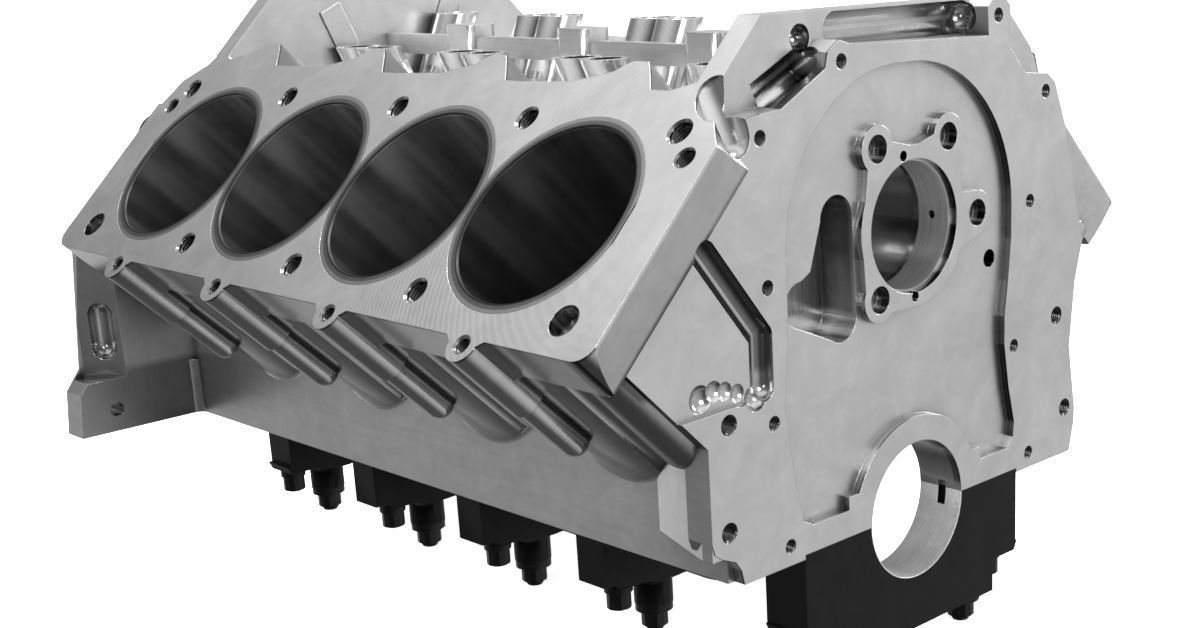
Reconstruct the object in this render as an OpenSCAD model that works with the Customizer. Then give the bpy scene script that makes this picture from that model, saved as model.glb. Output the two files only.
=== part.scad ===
// Machined V8 cylinder block with iron liners and studded steel main caps.
// Millimetres. The crank axis is the Y axis, the front face is y = 0 and Z is up.

/* [Cylinders] */
// Bore diameter inside a finished liner
bore_d = 113.2; // [104:0.1:114]
// Wall of a liner below its flange
liner_wall = 4.2; // [3:0.1:4.4]
// How far the liner flange stands out past the liner's body
liner_flange_step = 2.6; // [1.5:0.1:4]
// Thickness of the liner flange
liner_flange_t = 9.5; // [6:0.5:14]
// Length of a liner, flange included
liner_len = 166; // [150:1:170]
// Distance between neighbouring bore centres
bore_pitch = 122.94; // [122.9:0.01:128]
// First bore of the left bank, behind the front face
bore1_y = 85.6; // [84:0.1:92]
// How far the right bank sits behind the left one
bank_stagger = 24.4; // [20:0.1:28]

/* [Decks] */
// Height of each deck above the crank axis, square to the deck
deck_h = 281.6; // [278:0.1:290]
// Thickness of the deck plate
deck_t = 32; // [24:1:40]
// How far a deck runs on past its end bores
deck_end = 92.6; // [90:0.1:96]
// Lower edge of a deck below the bore line
deck_low = 79; // [77:0.5:82]
// Rows of head studs, above and below the bore line
head_stud_t = 58.5; // [56:0.1:60]
// Drilled size of a head stud hole
head_stud_d = 13.6; // [11:0.1:15]
// Row of small tab studs below the bore line
tab_stud_t = 83; // [82:0.5:86]
// Outer radius of a tab and of the post below it
tab_r = 10.5; // [9:0.5:12]

// How much less the right deck runs on in front of its first bore
right_deck_short = 10.6; // [8:0.1:12]

/* [Crankcase] */
// Half width across the pan rail
rail_half_w = 152.9; // [150:0.5:160]
// Pan rail face below the crank axis
rail_drop = 2.7; // [2:0.1:6]
// Width of the pan rail
rail_w = 19; // [15:1:22]
// Diameter of the main bearing bore
main_bore_d = 84.6; // [78:0.1:90]
// Radius of the crankcase bays, swept by the crank
bay_r = 112; // [108:1:115]
// Thickness of the first web and its cap
front_web_t = 32.4; // [28:0.1:36]
// Thickness of the three middle webs and their caps
mid_web_t = 25; // [22:0.5:28]
// Thickness of the last web's cap
rear_cap_t = 28; // [24:0.5:32]
// How far the last main stands behind an even pitch
rear_main_shift = 10; // [6:1:14]

/* [Camshaft tunnel] */
// Height of the flat tops of the left lifter bosses
left_lifter_top = 262; // [258:0.5:266]
// Height of the flat tops of the right lifter bosses
right_lifter_top = 281; // [278:0.5:283]
// Height of the pillars in the middle of the valley
pillar_top = 277; // [274:0.5:279]
// Height of the cam axis above the crank axis
cam_h = 171.1; // [168:0.1:176]
// Inside diameter of a fitted cam bearing
cam_bearing_d = 74.3; // [68:0.1:76]
// Wall of a cam bearing shell
cam_shell = 1.6; // [1:0.1:3]
// Length of each cam bearing
cam_bearing_l = 22; // [16:1:24]
// Radius of the cam boss on the front face
cam_boss_r = 47; // [45:1:50]

/* [Main caps] */
// Half width of the first cap
front_cap_half = 99.6; // [96:0.1:104]
// Half width of the three middle caps
mid_cap_half = 124; // [116:1:128]
// Half width of the last cap
rear_cap_half = 112; // [108:1:118]
// Underside of a cap's ends below the crank axis
cap_wing_z = 50; // [44:1:54]
// Underside of a cap's middle below the crank axis
cap_belly_z = 76; // [68:1:80]
// Inner studs of the first cap, from the crank axis
front_inner_x = 62; // [60:0.5:66]
// Outer studs of the first cap, from the crank axis
front_outer_x = 89; // [87:0.5:90]
// Inner studs of the other caps, from the crank axis
mid_inner_x = 74; // [70:0.5:76]
// Outer studs of the other caps, from the crank axis
mid_outer_x = 103; // [99:0.5:104]
// Diameter of the inner main studs
inner_stud_d = 12.7; // [11:0.1:14]
// Diameter of the outer main studs
outer_stud_d = 11.1; // [9:0.1:12]
// How far the inner studs reach into the webs
stud_depth = 40; // [30:1:44]
// Lower tips of the inner studs below the crank axis
stud_tip_z = 95; // [92:1:104]

/* [Front face] */
// Depth of the shallow face under the front of the left deck
pocket_d = 3.5; // [2:0.5:6]
// Depth of the timing recess
recess_depth = 5; // [3:0.5:8]
// Radius of the recess arch
recess_r = 93; // [90:0.5:96]
// Height of the walls that close the valley
valley_wall_z = 295; // [290:1:300]
// Height of the rear one above the crank axis
rear_wall_z = 301; // [290:1:304]
// Thickness of the walls that close the valley
valley_wall_t = 16; // [14:1:20]

/* [Bell housing flange] */
// Thickness of the bell housing flange
bell_t = 23; // [18:1:28]
// Diameter of the bell housing bolt holes
bell_hole_d = 10.2; // [9:0.1:12]
// Diameter of the bell housing dowels
bell_dowel_d = 15.9; // [12:0.1:17]

/* [Hidden] */

$fn = 64;
eps = 0.02;
fit = 0.04;
cylinders = 4;
mains = 5;
left = -1;
right = 1;

liner_r = bore_d / 2 + liner_wall;
liner_flange_r = liner_r + liner_flange_step;
barrel_r = deck_low - 0.4;
deck_lip = 7;
flange_t = bank_stagger + bore1_y - deck_end;
deck_len = (cylinders - 1) * bore_pitch + 2 * deck_end;
stud_post_r = 17.5;
deck_plate_h = deck_h - deck_t;
rear_wall_y = bore1_y + (cylinders - 1) * bore_pitch + 46;
bell_y = bore1_y + bank_stagger + (cylinders - 1) * bore_pitch + deck_end;
block_end_y = bell_y + bell_t;
cam_seat_r = cam_bearing_d / 2 + cam_shell;
cap_seat_z = 0;
washer_t = 3;
inner_seat_z = -cap_belly_z + 1;
outer_seat_z = -cap_wing_z - 4;
inner_nut_h = 13.5;
outer_nut_h = 14;
inner_nut_flange = 12.2;
outer_nut_flange = 9.2;
dowel_h = 8;
dowel_wall = 1.6;

function bore_y(bank, k) = bore1_y + (bank == right ? bank_stagger : 0) + k * bore_pitch;
function pin_y(k) = bore1_y + bank_stagger / 2 + k * bore_pitch;
function main_t(k) = k == 0 ? front_web_t : k == mains - 1 ? rear_cap_t : mid_web_t;
function main_y(k) = k == 0 ? front_web_t / 2
  : k == mains - 1 ? pin_y(cylinders - 1) + bore_pitch / 2 + rear_main_shift
  : pin_y(k - 1) + bore_pitch / 2;
function cap_half(k) = k == 0 ? front_cap_half : k == mains - 1 ? rear_cap_half : mid_cap_half;
function inner_x(k) = k == 0 ? front_inner_x : mid_inner_x;
function outer_x(k) = k == 0 ? front_outer_x : mid_outer_x;
function end_front(bank) = bank == left ? deck_end : deck_end - right_deck_short;
function deck_front(bank) = bore_y(bank, 0) - end_front(bank);
function deck_rear(bank) = bore_y(bank, cylinders - 1) + deck_end;

// Local X runs up along the deck towards the valley and local Z squarely out of the deck
module bank_frame(bank) {
  if (bank == left) rotate([0, -45, 0]) children();
  else mirror([1, 0, 0]) rotate([0, -45, 0]) children();
}

// A flat shape in X and Z, drawn as seen from the front and pushed back along Y
module from_front(y0, y1) {
  translate([0, y1, 0]) rotate([90, 0, 0]) linear_extrude(y1 - y0) children();
}

// The path of a ball-nosed cutter through a list of points
module ball_path(points, r) {
  for (p = points) translate(p) sphere(r + 0.06);
  for (i = [1 : len(points) - 1]) {
    d = points[i] - points[i - 1];
    translate(points[i - 1]) rotate([0, acos(d[2] / norm(d)), atan2(d[1], d[0])])
      cylinder(r = r, h = norm(d));
  }
}

module hole_y(x, z, r, depth, y0 = 0) {
  translate([x, y0 - 1, z]) rotate([-90, 0, 0]) cylinder(r = r, h = depth + 1);
}

module countersink_y(x, z, r, w, y0 = 0) {
  translate([x, y0 - eps, z]) rotate([-90, 0, 0]) cylinder(r1 = r + w, r2 = r, h = w);
}

// Plan of a deck with its tabs and valley edge, the first bore at y = 0
module deck_plan(bank) {
  last = (cylinders - 1) * bore_pitch;
  corner = 12;
  horn0 = flange_t - bore_y(bank, 0);
  horn1 = rear_wall_y - bore_y(bank, 0);
  // one milled step of the valley edge, as t and the distance behind the bore
  tooth = [[85.5, -78], [83.4, -36], [83.4, -22], [98, -11], [101.7, -7.5], [101.7, 4], [98.5, 10], [94, 15], [86, 41]];
  polygon(concat([
    [-deck_low, -end_front(bank) + corner], [-deck_low + corner, -end_front(bank)], [52, -end_front(bank)],
    [82, horn0]],
    bank == left
      ? concat([[90, horn0 + 2], [90, -52.6]],
          [for (k = [0 : cylinders - 1]) for (p = tooth) if (k > 0 || p[1] > -40) p + [0, k * bore_pitch]])
      : [[91, horn0 + 5], [86, horn0 + 20], [85, last + 30]],
    [[87, horn1 - 2], [92, horn1 + 4],
    [92, horn1 + valley_wall_t - 3], [80, horn1 + valley_wall_t + 2], [65, last + 82],
    [44, last + 88], [44, last + deck_end], [-deck_low + corner, last + deck_end],
    [-deck_low, last + deck_end - corner]]));
  for (y = [-end_front(bank) + corner, last + deck_end - corner])
    translate([-deck_low + corner, y]) circle(corner);
  for (k = [0 : cylinders - 1]) translate([-deck_low, k * bore_pitch]) {
    translate([-tab_stud_t + deck_low, 0]) circle(tab_r);
    polygon([[0, -tab_r - 5], [-tab_stud_t + deck_low, -tab_r],
      [-tab_stud_t + deck_low, tab_r], [0, tab_r + 5], [1, tab_r + 5], [1, -tab_r - 5]]);
  }
}

// Barrels, stud posts and end walls of one bank, all drawn square to its deck
module bank_body(bank) {
  y0 = bore_y(bank, 0);
  last = (cylinders - 1) * bore_pitch;
  inner_t = 72;
  root_h = 104;
  difference() {
    union() {
      // barrels
      for (k = [0 : cylinders - 1]) translate([0, y0 + k * bore_pitch, root_h])
        cylinder(r = barrel_r, h = deck_plate_h - root_h + 1);
      // posts under the head studs
      for (k = [0 : cylinders]) translate([-head_stud_t, y0 + (k - 0.5) * bore_pitch, deck_h - 110])
        cylinder(r = stud_post_r, h = 80);
      for (k = [0 : cylinders]) translate([-head_stud_t, y0 + (k - 0.5) * bore_pitch, deck_h - 110])
        sphere(stud_post_r);
      // solid core behind the posts
      translate([-50, deck_front(bank) + deck_lip, root_h])
        cube([50 + inner_t, last + end_front(bank) + deck_end - 2 * deck_lip, deck_plate_h - root_h + 1]);
      // end walls
      for (y = [[deck_front(bank) + deck_lip, y0 - bore_pitch / 2 + 4],
          [y0 + last + bore_pitch / 2 - 4, deck_rear(bank) - deck_lip]])
        translate([-65, y[0], root_h])
          cube([65 + inner_t, y[1] - y[0], deck_plate_h - root_h + 1]);
      // posts under the tabs, stepped and round ended
      for (k = [0 : cylinders - 1]) translate([-tab_stud_t, y0 + k * bore_pitch, 0]) {
        translate([0, 0, deck_plate_h - 22]) cylinder(r = tab_r, h = 30);
        translate([0, 0, deck_plate_h - 64]) cylinder(r = tab_r - 2, h = 60);
        translate([0, 0, deck_plate_h - 64]) sphere(tab_r - 2);
      }
    }
    // the barrels stop level with the valley side
    translate([inner_t, y0 - deck_end - 1, 0]) cube([40, deck_len + 2, deck_plate_h]);
    // ball-nosed channels between the barrels and the posts
    for (k = [0 : cylinders - 1]) for (side = [-1, 1])
      ball_path([[-76, y0 + k * bore_pitch + side * 38, deck_plate_h - 9],
        [-76, y0 + k * bore_pitch + side * 38, 90]], 9);
  }
}

module deck_plate(bank) {
  translate([0, bore_y(bank, 0), deck_plate_h]) difference() {
    linear_extrude(deck_t) deck_plan(bank);
    // the front edge leans back to the bank's end wall
    translate([-deck_low - 20, -end_front(bank), 0]) rotate([90, 0, 90]) linear_extrude(bank == left ? 240 : 149)
      polygon([[-10, -1], [deck_lip, -1], [deck_lip, 0], [0, deck_t - 2], [-10, deck_t - 2]]);
  }
}

// Everything that is bored or drilled square to a deck
module bank_bores(bank) {
  y0 = bore_y(bank, 0);
  last = (cylinders - 1) * bore_pitch;
  for (k = [0 : cylinders - 1]) translate([0, y0 + k * bore_pitch, 0]) {
    translate([0, 0, deck_h - liner_len]) cylinder(r = liner_r + fit, h = liner_len + 1);
    translate([0, 0, 98]) cylinder(r = liner_r - 3, h = deck_h - 98);
    intersection() {
      translate([0, 0, deck_h - liner_flange_t]) cylinder(r = liner_flange_r + fit, h = 12);
      translate([-80, -bore_pitch / 2 - 1, deck_h - liner_flange_t]) cube([160, bore_pitch + 2, 12]);
    }
    translate([-tab_stud_t, 0, deck_h - 45]) cylinder(r = 4.3, h = 50);
    translate([-tab_stud_t, 0, deck_h - 1]) cylinder(r1 = 4.3, r2 = 6, h = 1 + eps);
  }
  for (k = [0 : cylinders]) for (side = [-1, 1])
    translate([side * head_stud_t, y0 + (k - 0.5) * bore_pitch, 0]) {
      translate([0, 0, deck_h - 60]) cylinder(r = head_stud_d / 2, h = 61);
      translate([0, 0, deck_h - 1.2])
        cylinder(r1 = head_stud_d / 2, r2 = head_stud_d / 2 + 1.4, h = 1.2 + eps);
    }
  // dowel seats at the lower end studs
  for (y = [-bore_pitch / 2, last + bore_pitch / 2])
    translate([-head_stud_t, y0 + y, deck_h - 12]) cylinder(r = 9.2, h = 13);
  for (y = [bank == left ? -76 : -70, last + 73]) translate([42.8, y0 + y, deck_h - 40]) {
    cylinder(r = 5.6, h = 41);
    translate([0, 0, 39]) cylinder(r1 = 5.6, r2 = 6.7, h = 1 + eps);
  }
}

// Crankcase, cam tunnel and valley floor seen from the front
module core_section() {
  foot_z = 84;
  polygon([
    [-rail_half_w, -rail_drop], [-rail_half_w, foot_z], [-150, 118], [-112, 186],
    [-70, 200], [-38, 210], [38, 210], [70, 200], [112, 186], [150, 118],
    [rail_half_w, foot_z], [rail_half_w, -rail_drop]]);
  translate([0, cam_h]) circle(54);
}

// Outline of the front flange
module flange_section() {
  polygon([
    [-148, -rail_drop], [-150, 6], [-154, 12], [-164, 16.5], [-169, 20], [-171, 26],
    [-171, 90], [-165, 98], [-160, 110], [-172, 170], [-174, 206],
    [-152, 230], [-137, 245], [-124, 247], [-108, 248], [-73, 266], [-71, 274],
    [-62, 280], [-52, 277], [70, 273.5], [69, 290], [76, 296], [84, 296], [91, 290],
    [90, 268], [93, 263], [107, 249], [130, 247], [138, 241], [149, 215], [171, 138],
    [163, 112], [157.5, 69], [164.5, 26], [164, 16], [159, -rail_drop]]);
}

// Bolt holes of the front flange, x and z
small_holes = [[-124.5, 234.8], [-122.7, 156.4], [-121, 81.8], [-111.3, 8.6], [-60.5, 268.6],
  [79.3, 284.6], [128, 236.3], [112.3, 170.6], [96.4, 81.5], [112.7, 7.6]];
large_holes = [[-155.1, 88.8], [-157.8, 29.7], [142.4, 92.4], [152.9, 28.6]];
cam_plate_bolts = [[-31.9, 47.6], [31.3, 48.1], [58.8, -0.2], [-31.6, -37.6]];

module cam_boss_section() {
  translate([0, cam_h]) {
    circle(cam_boss_r);
    for (p = cam_plate_bolts) translate(p) circle(13.5);
    polygon([cam_plate_bolts[0] + [-8, -6], cam_plate_bolts[0] + [8, 4], [0, 46],
      cam_plate_bolts[1] + [-8, 4], cam_plate_bolts[1] + [10, -8], [44, 14],
      cam_plate_bolts[2] + [0, 13.4], cam_plate_bolts[2] + [0, -13.4], [42, -20], [0, -cam_boss_r],
      cam_plate_bolts[3] + [6, -9], cam_plate_bolts[3] + [-12, 4], [-46, -4]]);
  }
}

module recess_section() {
  difference() {
    union() {
      translate([0, cam_h]) circle(recess_r);
      translate([-15, cam_h]) circle(recess_r);
      polygon([[-108, cam_h], [-108, 140], [-112, 86], [-107, 50], [-100, 20], [-92, 16],
        [90, 16], [96, 22], [97, 32], [91, 56], [86.5, 84], [86.5, 102], [90, 124],
        [93, 150], [93, cam_h], [0, cam_h + recess_r], [-15, cam_h + recess_r]]);
    }
    cam_boss_section();
    circle(58);
    translate([-62, 0]) square([124, 24]);
  }
}

// Arch of the bell housing flange seen from the front
module bell_section() {
  difference() {
    union() {
      polygon([
        [-rail_half_w + 10, -rail_drop], [-246, -rail_drop], [-243, 28.5], [-232, 43],
        [-224, 128.6], [-206, 164], [-176, 190], [-150, 214], [-96, 233], [-40, 239], [40, 239],
        [96, 233], [150, 214], [176, 190], [206, 164], [224, 128.6], [232, 43],
        [243, 28.5], [246, -rail_drop], [rail_half_w - 10, -rail_drop], [120, 40], [-120, 40]]);
    }
  }
}
bell_bolts = [[-218, 13.3], [-196, 150], [-104, 218], [104, 218], [196, 150], [218, 13.3]];
bell_dowels_at = [[-196, 108], [196, 108]];

// Two lifter bosses for each cylinder
module lifter_bosses(bank) {
  for (k = [0 : cylinders - 1]) translate([0, bore_y(bank, k) + 20, cam_h])
    for (dy = [-13, 13]) rotate([0, bank * 24, 0]) translate([0, dy, 0]) cylinder(r = 15, h = 130);
}

// Pillars of the three middle webs that stand in the valley, and the wall that joins them
module valley_pillars() {
  for (k = [1 : mains - 2]) translate([0, main_y(k), 190]) linear_extrude(pillar_top - 190) {
    square([24, 20], center = true);
    square([14, 30], center = true);
    for (x = [-7, 7], y = [-10, 10]) translate([x, y]) circle(5);
  }
  translate([-7, flange_t + 8, pillar_top - 22]) cube([9, rear_wall_y - flange_t, 14]);
}

module lifter_bores(bank) {
  for (k = [0 : cylinders - 1]) translate([0, bore_y(bank, k) + 20, cam_h])
    for (dy = [-13, 13]) rotate([0, bank * 24, 0]) translate([0, dy, 30]) cylinder(r = 10.7, h = 100);
}

// Bays between the webs, open below to the pan rail
module crank_bays() {
  for (k = [0 : mains - 2]) {
    y0 = main_y(k) + main_t(k) / 2;
    y1 = main_y(k + 1) - main_t(k + 1) / 2;
    translate([0, y0, 0]) rotate([-90, 0, 0]) cylinder(r = bay_r, h = y1 - y0);
    translate([-rail_half_w + rail_w, y0, -rail_drop - 1])
      cube([2 * (rail_half_w - rail_w), y1 - y0, 46 + rail_drop]);
    // cam chamber and its window down to the crank
    translate([0, y0, cam_h]) rotate([-90, 0, 0]) cylinder(r = 46, h = y1 - y0);
    translate([-28, y0, 90]) cube([56, y1 - y0, cam_h - 90]);
  }
}

module main_seats() {
  for (k = [0 : mains - 1]) {
    t = main_t(k);
    translate([-cap_half(k) - fit, main_y(k) - t / 2 - (k == 0 ? 1 : 0), -rail_drop - 1])
      cube([2 * (cap_half(k) + fit), t + (k == 0 ? 1 : 0), rail_drop + 1 + cap_seat_z]);
    for (side = [-1, 1]) {
      translate([side * inner_x(k), main_y(k), -1]) cylinder(d = inner_stud_d + 2 * fit, h = stud_depth + 1);
      translate([side * outer_x(k), main_y(k), -1]) cylinder(d = outer_stud_d + 2 * fit, h = 31);
      translate([side * inner_x(k), main_y(k), -1])
        cylinder(r = inner_stud_d / 2 + dowel_wall + fit, h = dowel_h / 2 + 1);
    }
  }
}

module engine_block() {
  color("silver") difference() {
    union() {
      from_front(8, bell_y + 1) core_section();
      for (bank = [left, right]) bank_frame(bank) {
        bank_body(bank);
        deck_plate(bank);
      }
      for (bank = [left, right]) lifter_bosses(bank);
      valley_pillars();
      for (side = [-1, 1]) flange_fillet(side);
      valley_wall(flange_t, valley_wall_z);
      valley_wall(rear_wall_y, rear_wall_z);
      from_front(0, flange_t + 1) flange_section();
      from_front(bell_y, block_end_y) bell_section();
      // rear wall up to the flange
      from_front(deck_rear(left) - 40, bell_y + 1) rear_section();
      corner_ears();
    }
    for (bank = [left, right]) bank_frame(bank) bank_bores(bank);
    for (bank = [left, right]) lifter_bores(bank);
    // flat tops of the lifter bosses
    for (bank = [left, right])
      translate([bank == left ? -100 : 16, flange_t + valley_wall_t + 1.2, bank == left ? left_lifter_top : right_lifter_top])
        cube([84, rear_wall_y - flange_t - valley_wall_t - 2.4, 60]);
    crank_bays();
    main_seats();
    // bearing lines
    translate([0, -1, 0]) rotate([-90, 0, 0]) cylinder(d = main_bore_d, h = block_end_y + 2);
    for (k = [0 : mains - 1]) translate([0, main_y(k) - main_t(k) / 2 - 1, cam_h])
      rotate([-90, 0, 0]) cylinder(r = cam_seat_r, h = main_t(k) + 2);
    translate([0, main_y(mains - 1), cam_h]) rotate([-90, 0, 0])
      cylinder(r = cam_seat_r, h = block_end_y - main_y(mains - 1) + 1);
    oil_holes();
    front_cuts();
    rear_cuts();
  }
}

// Wall across the valley, cut off level with the decks
module valley_wall(y, top) {
  edge = deck_h * sqrt(2) - top;
  low = (deck_h + 89) / sqrt(2);
  from_front(y, y + valley_wall_t) polygon([
    [-170, 190], [-edge - top + low, low], [-edge, top], [edge, top], [edge + top - low, low], [170, 190]]);
}

module rear_section() {
  polygon([[-rail_half_w, -rail_drop], [-rail_half_w, 84], [-175, 130], [-135, 175], [-120, 215], [-100, 240],
    [100, 240], [120, 215], [135, 175], [175, 130], [rail_half_w, 84], [rail_half_w, -rail_drop]]);
}

// Hollow fillet between the side of the crankcase and the foot of the bell housing flange
module flange_fillet(side) {
  translate([side * (rail_half_w + 8.1), bell_y - 8, -rail_drop]) difference() {
    translate([side > 0 ? -9.5 : 0, 0, 0]) cube([9.5, 9.5, 41]);
    translate([0, 0, -1]) cylinder(r = 8.4, h = 43);
  }
}

// Wedge shaped ears that carry the large front bolt holes
module corner_ears() {
  translate([0, 0, 16]) linear_extrude(76)
    polygon([[-171, 0.5], [-171, 8], [-rail_half_w + 1, 64], [-rail_half_w + 1, 0.5]]);
}

module deep_pocket_section() {
  difference() {
    union() {
      for (p = [[-62, 184], [-60, 127], [-92, 141]]) translate(p) circle(13);
      polygon([[-75, 184], [-49, 184], [-47, 127], [-63, 114.4], [-95, 128.4], [-103, 148], [-84, 158]]);
    }
    translate([0, cam_h]) circle(cam_boss_r);
  }
}

// Oil feeds from the right into the cam bearings and the first main
module oil_holes() {
  for (k = [0 : mains - 1]) translate([cam_seat_r - 4, main_y(k) + 1.8, cam_h])
    rotate([0, 90, 0]) cylinder(r = 3.2, h = 20);
  // seat of the bearing's locating tang
  translate([main_bore_d / 2 - 4, main_y(0) - 4, -1]) cube([6.5, 6, 5]);
}

module front_cuts() {
  from_front(-1, recess_depth) recess_section();
  // deep pocket beside the cam boss
  from_front(-1, 30) deep_pocket_section();
  // shallow face under the left deck's end, and the groove beside the flange
  from_front(-1, pocket_d) polygon([[-168, 183], [-151, 160], [-133, 138.5], [-128, 128], [-128, 98],
    [-172, 97], [-240, 96], [-252, 112], [-232, 122], [-174.7, 178.2]]);
  ball_path([[-167, 0.7, 181], [-128, 0.7, 131], [-128, 0.7, 103]], 7.5);
  // scalloped foot of that face
  for (p = [[-134, 99, 7.5], [-145, 103.5, 7], [-154, 106.5, 7], [-162, 108, 7.5], [-172, 106, 9]])
    translate([p[0], -1.2, p[1]]) sphere(p[2]);
  // channel behind the top of the flange, and the cuts beside its left corner
  ball_path([[-46, flange_t + 0.4, 284], [66, flange_t + 0.4, 284]], 9.5);
  translate([-108, flange_t + 1.5, 249.4]) rotate([0, 65, 0]) cylinder(r = 12, h = 42);
  ball_path([[-142, flange_t + 2.4, 264], [-142, 3.4, 236]], 10.5);
  translate([-74, flange_t + 2, 281]) sphere(8);
  for (p = small_holes) {
    hole_y(p[0], p[1], 3.6, 14);
    countersink_y(p[0], p[1], 3.6, 0.7);
  }
  for (p = large_holes) {
    hole_y(p[0], p[1], 5, 24);
    countersink_y(p[0], p[1], 5, 0.9);
  }
  for (p = cam_plate_bolts) {
    hole_y(p[0], p[1] + cam_h, 4, 22);
    hole_y(p[0], p[1] + cam_h, 8, 9);
  }
  for (p = [[-9.7, 212.3], [-0.4, 130.2]]) hole_y(p[0], p[1], 3, 9);
  hole_y(77, 139.7, 5.5, 40);
}

module rear_cuts() {
  for (p = bell_bolts) hole_y(p[0], p[1], bell_hole_d / 2, bell_t + 2, bell_y);
  for (p = bell_dowels_at) translate([p[0], block_end_y - 14, p[1]]) rotate([-90, 0, 0])
    cylinder(d = bell_dowel_d + 2 * fit, h = 15);
  // sides of the bell housing flange, leaning back, with a ball-milled pocket in each
  for (side = [-1, 1]) {
    translate([0, 0, 36]) linear_extrude(160) polygon([[side * 206, bell_y - 1.5], [side * 270, bell_y - 1.5],
      [side * 270, block_end_y - 2], [side * 229, block_end_y - 2]]);
    ball_path([[side * 216, bell_y + 10, 58], [side * 216, bell_y + 10, 82]], 9);
  }
  // rear seal land
  translate([0, block_end_y - 14, 0]) rotate([-90, 0, 0]) cylinder(r = 60, h = 15);
  // seat of the end plug
  bank_frame(left) translate([28, deck_rear(left), deck_h - 22])
    rotate([90, 0, 0]) cylinder(r = 13, h = 12);
}

module cylinder_liner(n) {
  bank = n <= cylinders ? left : right;
  k = (n - 1) % cylinders;
  color("dimgray") bank_frame(bank) translate([0, bore_y(bank, k), 0]) difference() {
    union() {
      translate([0, 0, deck_h - liner_len]) cylinder(r = liner_r, h = liner_len);
      intersection() {
        translate([0, 0, deck_h - liner_flange_t]) cylinder(r = liner_flange_r, h = liner_flange_t);
        translate([-80, -bore_pitch / 2 + fit, deck_h - liner_flange_t - 1])
          cube([160, bore_pitch - 2 * fit, liner_flange_t + 2]);
      }
    }
    translate([0, 0, deck_h - liner_len - 1]) cylinder(d = bore_d, h = liner_len + 2);
    translate([0, 0, deck_h - 1]) cylinder(r1 = bore_d / 2, r2 = bore_d / 2 + 1, h = 1 + eps);
  }
}

// A cap seen from the front: level wings, bosses under the inner studs and a deeper middle, arched or level
module cap_section(half, inner, outer, arched) {
  difference() {
    union() {
      translate([-half, -cap_wing_z]) square([2 * half, cap_wing_z + cap_seat_z]);
      polygon([[-outer - 12, -cap_wing_z + 1], [-outer - 9, -cap_wing_z - 5], [-outer + 10, -cap_wing_z - 5],
        [-inner, -cap_wing_z - 9], [inner, -cap_wing_z - 9], [outer - 10, -cap_wing_z - 5],
        [outer + 9, -cap_wing_z - 5], [outer + 12, -cap_wing_z + 1]]);
      for (side = [-1, 1]) translate([side * inner - 13, -cap_belly_z]) square([26, cap_belly_z - 20]);
      if (arched) intersection() {
        circle(cap_belly_z + 3);
        translate([-inner, -cap_belly_z - 5]) square([2 * inner, cap_belly_z - 5]);
      }
      else translate([-inner, -cap_belly_z]) square([2 * inner, cap_belly_z - 20]);
    }
    circle(main_bore_d / 2);
  }
}

module main_cap(k) {
  t = main_t(k) - 0.2;
  color("#2b2a2b") difference() {
    from_front(main_y(k) - t / 2, main_y(k) + t / 2) cap_section(cap_half(k), inner_x(k), outer_x(k), k > 0);
    for (side = [-1, 1]) {
      translate([side * inner_x(k), main_y(k), -120]) cylinder(d = inner_stud_d + 2 * fit, h = 121);
      translate([side * outer_x(k), main_y(k), -120]) cylinder(d = outer_stud_d + 2 * fit, h = 121);
      translate([side * inner_x(k), main_y(k), -dowel_h / 2])
        cylinder(r = inner_stud_d / 2 + dowel_wall + fit, h = dowel_h);
      // seat of the first bearing's tang
      if (k == 0) translate([main_bore_d / 2 - 4, main_y(0) - 4, -11]) cube([6.5, 6, 12]);
      // level seats for the washers
      translate([side * inner_x(k), main_y(k), -120]) cylinder(r = inner_nut_flange + 0.2, h = 120 + inner_seat_z);
      translate([side * outer_x(k), main_y(k), -120]) cylinder(r = outer_nut_flange + 0.2, h = 120 + outer_seat_z);
    }
  }
}

module at_studs(inner) {
  for (k = [0 : mains - 1]) for (side = [-1, 1])
    translate([side * (inner ? inner_x(k) : outer_x(k)), main_y(k), 0]) children();
}

module inner_main_studs() {
  color("#222222") at_studs(true) {
    translate([0, 0, -stud_tip_z + 2]) cylinder(d = inner_stud_d, h = stud_tip_z - 2 + stud_depth);
    translate([0, 0, -stud_tip_z]) cylinder(d1 = inner_stud_d - 2.4, d2 = inner_stud_d, h = 2);
  }
}

module outer_main_studs() {
  color("#222222") at_studs(false)
    translate([0, 0, outer_seat_z - outer_nut_h - washer_t - 1])
      cylinder(d = outer_stud_d, h = -outer_seat_z + outer_nut_h + washer_t + 31);
}

// Flanged nut with a round skirt and a twelve sided head
module flanged_nut(d, flange_r, h) {
  difference() {
    union() {
      translate([0, 0, -3]) cylinder(r = flange_r, h = 3);
      translate([0, 0, -h]) cylinder(r = d / 2 + 2.4, h = h - 2, $fn = 12);
    }
    translate([0, 0, -h - 1]) cylinder(d = d + 2 * fit, h = h + 2);
  }
}

module inner_main_nuts() {
  color("#1c1c1c") at_studs(true) translate([0, 0, inner_seat_z - washer_t])
    flanged_nut(inner_stud_d, inner_nut_flange, inner_nut_h);
}

module outer_main_nuts() {
  color("#1c1c1c") at_studs(false) translate([0, 0, outer_seat_z - washer_t])
    flanged_nut(outer_stud_d, outer_nut_flange, outer_nut_h);
}

module main_washers() {
  color("#303030") {
    at_studs(true) translate([0, 0, inner_seat_z - washer_t]) difference() {
      cylinder(r = inner_nut_flange, h = washer_t);
      translate([0, 0, -1]) cylinder(d = inner_stud_d + 2 * fit, h = washer_t + 2);
    }
    at_studs(false) translate([0, 0, outer_seat_z - washer_t]) difference() {
      cylinder(r = outer_nut_flange, h = washer_t);
      translate([0, 0, -1]) cylinder(d = outer_stud_d + 2 * fit, h = washer_t + 2);
    }
  }
}

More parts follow.
